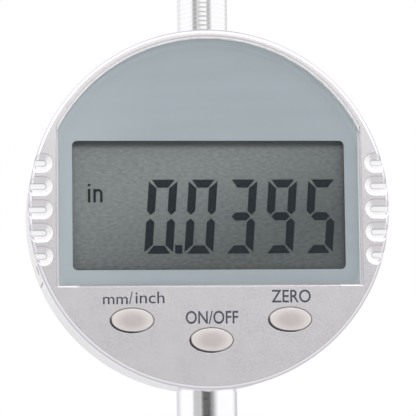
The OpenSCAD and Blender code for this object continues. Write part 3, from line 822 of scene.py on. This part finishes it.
def button_profile(low_y, high_y, half_w, half_h):
    """Half width, half height and place along Y of a button's rings, from its crown to its plunger."""
    top_w = half_w - BUTTON_DRAFT
    top_h = half_h - BUTTON_DRAFT
    crown_steps = 8
    edge_steps = 4
    profile = []
    for step in range(1, crown_steps + 1):
        reach = step / crown_steps
        profile.append((top_w * reach, top_h * reach, low_y + BUTTON_CROWN * reach ** 2))
    for step in range(1, edge_steps + 1):
        angle = math.radians(60) * step / edge_steps
        out = BUTTON_EDGE * math.sin(angle)
        down = BUTTON_CROWN + BUTTON_EDGE * (1 - math.cos(angle))
        profile.append((top_w + out, top_h + out, low_y + down))
    flange_top = FACE_Y + BUTTON_FLANGE_DEPTH
    flange_low = flange_top + BUTTON_FLANGE_THICK
    flange = (half_w + BUTTON_FLANGE, half_h + BUTTON_FLANGE)
    plunger = (BUTTON_PLUNGER_R, BUTTON_PLUNGER_R)
    profile += [(half_w, half_h, FACE_Y), (half_w, half_h, flange_top)]
    profile += [(*flange, flange_top), (*flange, flange_low)]
    profile += [(*plunger, flange_low), (*plunger, high_y)]
    return profile


def button_cap(node, body, material):
    """Elliptical button with a crowned top, a soft rounded edge, a flange and a plunger."""
    low, high = (Vector(corner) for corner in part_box(node))
    centre = (low + high) / 2
    half_w = (high.x - low.x) / 2 - BUTTON_FLANGE
    half_h = (high.z - low.z) / 2 - BUTTON_FLANGE
    sides = 72
    turns = [2 * math.pi * k / sides for k in range(sides)]
    rings = [
        [(centre.x + wide * math.cos(turn), y, centre.z + tall * math.sin(turn)) for turn in turns]
        for wide, tall, y in button_profile(low.y, high.y, half_w, half_h)
    ]
    shape = loft(rings, smooth=True, tip=(centre.x, low.y, centre.z))
    cap = show_piece(node + "_cap", shape, material, body)
    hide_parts(node)


# ---------------------------------------------------------------------------
# Finish of every CAD node
# ---------------------------------------------------------------------------

steel = steel_metal()
rubber = plastic("dark_rubber", srgb(34, 34, 35), 0.7, 3000, 0.01)
button_plastic = button_finish()

give(bezel_metal(), "front_bezel")
give(lens_glass(), "window_lens")
give(mask_print(), "window_mask")
give(display_glass(), "lcd_cell")
give(segment_ink(), "lcd_digits")
give(button_plastic, "inch_button", "power_button", "zero_button")
give(polished_case(), "rear_case", "battery_drawer")
give(cast_metal(), "lug_back")
give(chrome_metal(), "stem")
give(ringed_metal(), "dust_cap")
give(brass_metal(), "stem_bush_low", "stem_bush_high", "top_bush", "contact_plus", "contact_minus")
give(rubber, "stem_wiper", "case_seal", "zebra_upper", "zebra_lower", "port_plug")
give(
    plastic("black_plastic", srgb(38, 38, 40), 0.45),
    "lcd_frame", "main_chip", "inch_switch", "power_switch", "zero_switch", "carrier", "data_port",
)
give(circuit_board(), "main_board")
give(copper_laminate(), "scale_strip")
give(steel, "crystal", "spindle", "clamp_screw", "guide_rod", "return_spring")
give(steel, "contact_holder", "contact_ball", "coin_cell")
for number in range(1, 5):
    give(steel, f"case_screw_{number}", f"back_screw_{number}")

# ---------------------------------------------------------------------------
# Pieces that stand for a CAD node or add to it
# ---------------------------------------------------------------------------

for key in ("inch", "power", "zero"):
    button_cap(key + "_button", key + "_key", button_plastic)
# Pale fill in the gap round the window's arc, standing in for light where the gap would be shaded.
window_bead(plastic("gap_light_fill", srgb(226, 219, 220), 0.4))
coil_spring(steel)
rubber_plug(rubber)
soften(0.15 * MM, "main_chip", "zebra_upper", "zebra_lower")
soften(0.03 * MM, "scale_strip", "contact_plus", "contact_minus")

ink = label_ink()
inch_runs = [
    ("mm", -16.65, -14.8, 3.8, 1.15),
    ("/", -12.65, -14.75, 0.55, 1.85),
    ("inch", -11.65, -14.7, 4.45, 1.8),
]
face_label("label_inch", inch_runs, 0.003, ink)
face_label("label_power", [("ON/OFF", -3.95, -17.9, 8.1, 2.0)], 0.01, ink)
face_label("label_zero", [("ZERO", 9.35, -14.7, 6.1, 2.0)], 0.008, ink)

# ---------------------------------------------------------------------------
# Floor, light and camera
# ---------------------------------------------------------------------------


FLOOR_GAP = 0.02
FLOOR_HALF = 4.0


def studio_floor():
    """Plain pale floor well below the contact point."""
    dull = (0.61, 0.61, 0.61)
    clear = (0.63, 0.63, 0.63)
    z = cad_box[0][2] - FLOOR_GAP
    turns = ((-1, -1), (1, -1), (1, 1), (-1, 1))
    corners = [(FLOOR_HALF * x, FLOOR_HALF * y, z) for x, y in turns]
    mesh = bpy.data.meshes.new("floor")
    mesh.from_pydata(corners, [], [(0, 1, 2, 3)])
    floor = bpy.data.objects.new("floor", mesh)
    bpy.context.collection.objects.link(floor)
    s = Shader("floor_paint", clear, roughness=0.8)
    s.set("Base Color", s.mix(s.noise(3, 2), dull, clear))
    mesh.materials.append(s.material)


ROOM_LIGHT = 1.06
CEILING_EXTRA = 0.5
HORIZON = 0.075

# Parts of the room: from and to an azimuth in degrees, counted from the front to the right, from and to
# a height of the view direction, amount, and softness in degrees. The softbox adds its amount of light,
# and each dark part takes away its share.
SOFTBOX = (-15, 17, 0.11, 0.5, 0.4, 5)
DARK_PARTS = (
    (-19, 10, -2, HORIZON, 0.92, 4),
    (-58, -15, -2, HORIZON, 0.45, 5),
    (-27, -8, -2, HORIZON, 0.85, 8),
    (-8, 25, -2, HORIZON, 0.8, 18),
    (-50, -28, 0.085, 0.75, 0.62, 6),
    (-28, 12, 0.085, 0.75, 0.3, 6),
    (12, 34, 0.085, 0.75, 0.55, 6),
    (-200, -125, -2, 2, 0.16, 14),
    (125, 200, -2, 2, 0.28, 12),
)


def studio_world():
    """White room with darker parts that only reflections show: the camera itself sees plain white."""
    world = bpy.data.worlds.new("studio")
    bpy.context.scene.world = world
    world.use_nodes = True
    tree = world.node_tree
    link = tree.links.new

    def calc(operation, a, b=0.0):
        node = tree.nodes.new("ShaderNodeMath")
        node.operation = operation
        for socket, value in zip(node.inputs, (a, b)):
            if isinstance(value, (int, float)):
                socket.default_value = value
            else:
                link(value, socket)
        return node.outputs[0]

    def smooth(value, low, high):
        node = tree.nodes.new("ShaderNodeMapRange")
        node.interpolation_type = "SMOOTHSTEP"
        node.inputs[1].default_value = low
        node.inputs[2].default_value = high
        link(value, node.inputs[0])
        return node.outputs[0]

    direction = tree.nodes.new("ShaderNodeTexCoord").outputs["Generated"]
    split = tree.nodes.new("ShaderNodeSeparateXYZ")
    link(direction, split.inputs[0])
    x, y, z = split.outputs
    azimuth = calc("MULTIPLY", calc("ARCTAN2", x, calc("MULTIPLY", y, -1)), 180 / math.pi)

    def between(value, low, high, soft):
        rise = smooth(value, low - soft, low + soft)
        return calc("MULTIPLY", rise, smooth(value, high + soft, high - soft))

    def panel(left, right, low, high, amount, soft):
        """Amount inside one part of the room, and nothing outside it."""
        across = between(azimuth, left, right, soft)
        return calc("MULTIPLY", calc("MULTIPLY", across, between(z, low, high, 0.01)), amount)

    taken = panel(*DARK_PARTS[0])
    for part in DARK_PARTS[1:]:
        taken = calc("MAXIMUM", taken, panel(*part))
    ceiling = calc("MULTIPLY", smooth(z, 0.25, 0.7), CEILING_EXTRA)
    room = calc("ADD", calc("ADD", ROOM_LIGHT, ceiling), panel(*SOFTBOX))
    seen = calc("MULTIPLY", room, calc("SUBTRACT", 1, taken))
    camera_ray = tree.nodes.new("ShaderNodeLightPath").outputs["Is Camera Ray"]
    background = tree.nodes["Background"]
    background.inputs["Color"].default_value = (1, 1, 1, 1)
    link(calc("MAXIMUM", seen, camera_ray), background.inputs["Strength"])


def soft_light(name, place, target, size, power):
    """Square area light that the camera does not see."""
    light = bpy.data.lights.new(name, "AREA")
    light.shape = "SQUARE"
    light.size = size
    light.energy = power
    lamp = bpy.data.objects.new(name, light)
    lamp.location = place
    lamp.rotation_euler = (Vector(target) - Vector(place)).to_track_quat("-Z", "Y").to_euler()
    lamp.visible_camera = False
    bpy.context.collection.objects.link(lamp)


def photo_camera():
    """Long lens, slightly from the left and from below, rolled a little."""
    yaw = math.radians(-5.5)
    pitch = math.radians(-6.0)
    roll = math.radians(0.73)
    distance = 0.4
    view_width = 64.25 * MM
    away = Vector((math.sin(yaw) * math.cos(pitch), -math.cos(yaw) * math.cos(pitch), math.sin(pitch)))
    data = bpy.data.cameras.new("photo_camera")
    data.sensor_width = 36
    data.lens = data.sensor_width * distance / view_width
    data.clip_start = 0.01
    data.shift_x = -0.0048
    camera = bpy.data.objects.new("photo_camera", data)
    aim = (-away).to_track_quat("-Z", "Y").to_matrix().to_4x4()
    place = Matrix.Translation(FACE_CENTRE + away * distance)
    camera.matrix_world = place @ aim @ Matrix.Rotation(-roll, 4, "Z")
    bpy.context.collection.objects.link(camera)
    bpy.context.scene.camera = camera


studio_floor()
studio_world()
soft_light("key", (0.15, -0.6, 0.45), FACE_CENTRE, 0.2, 0.6)
photo_camera()
bpy.context.scene.view_settings.view_transform = "Standard"
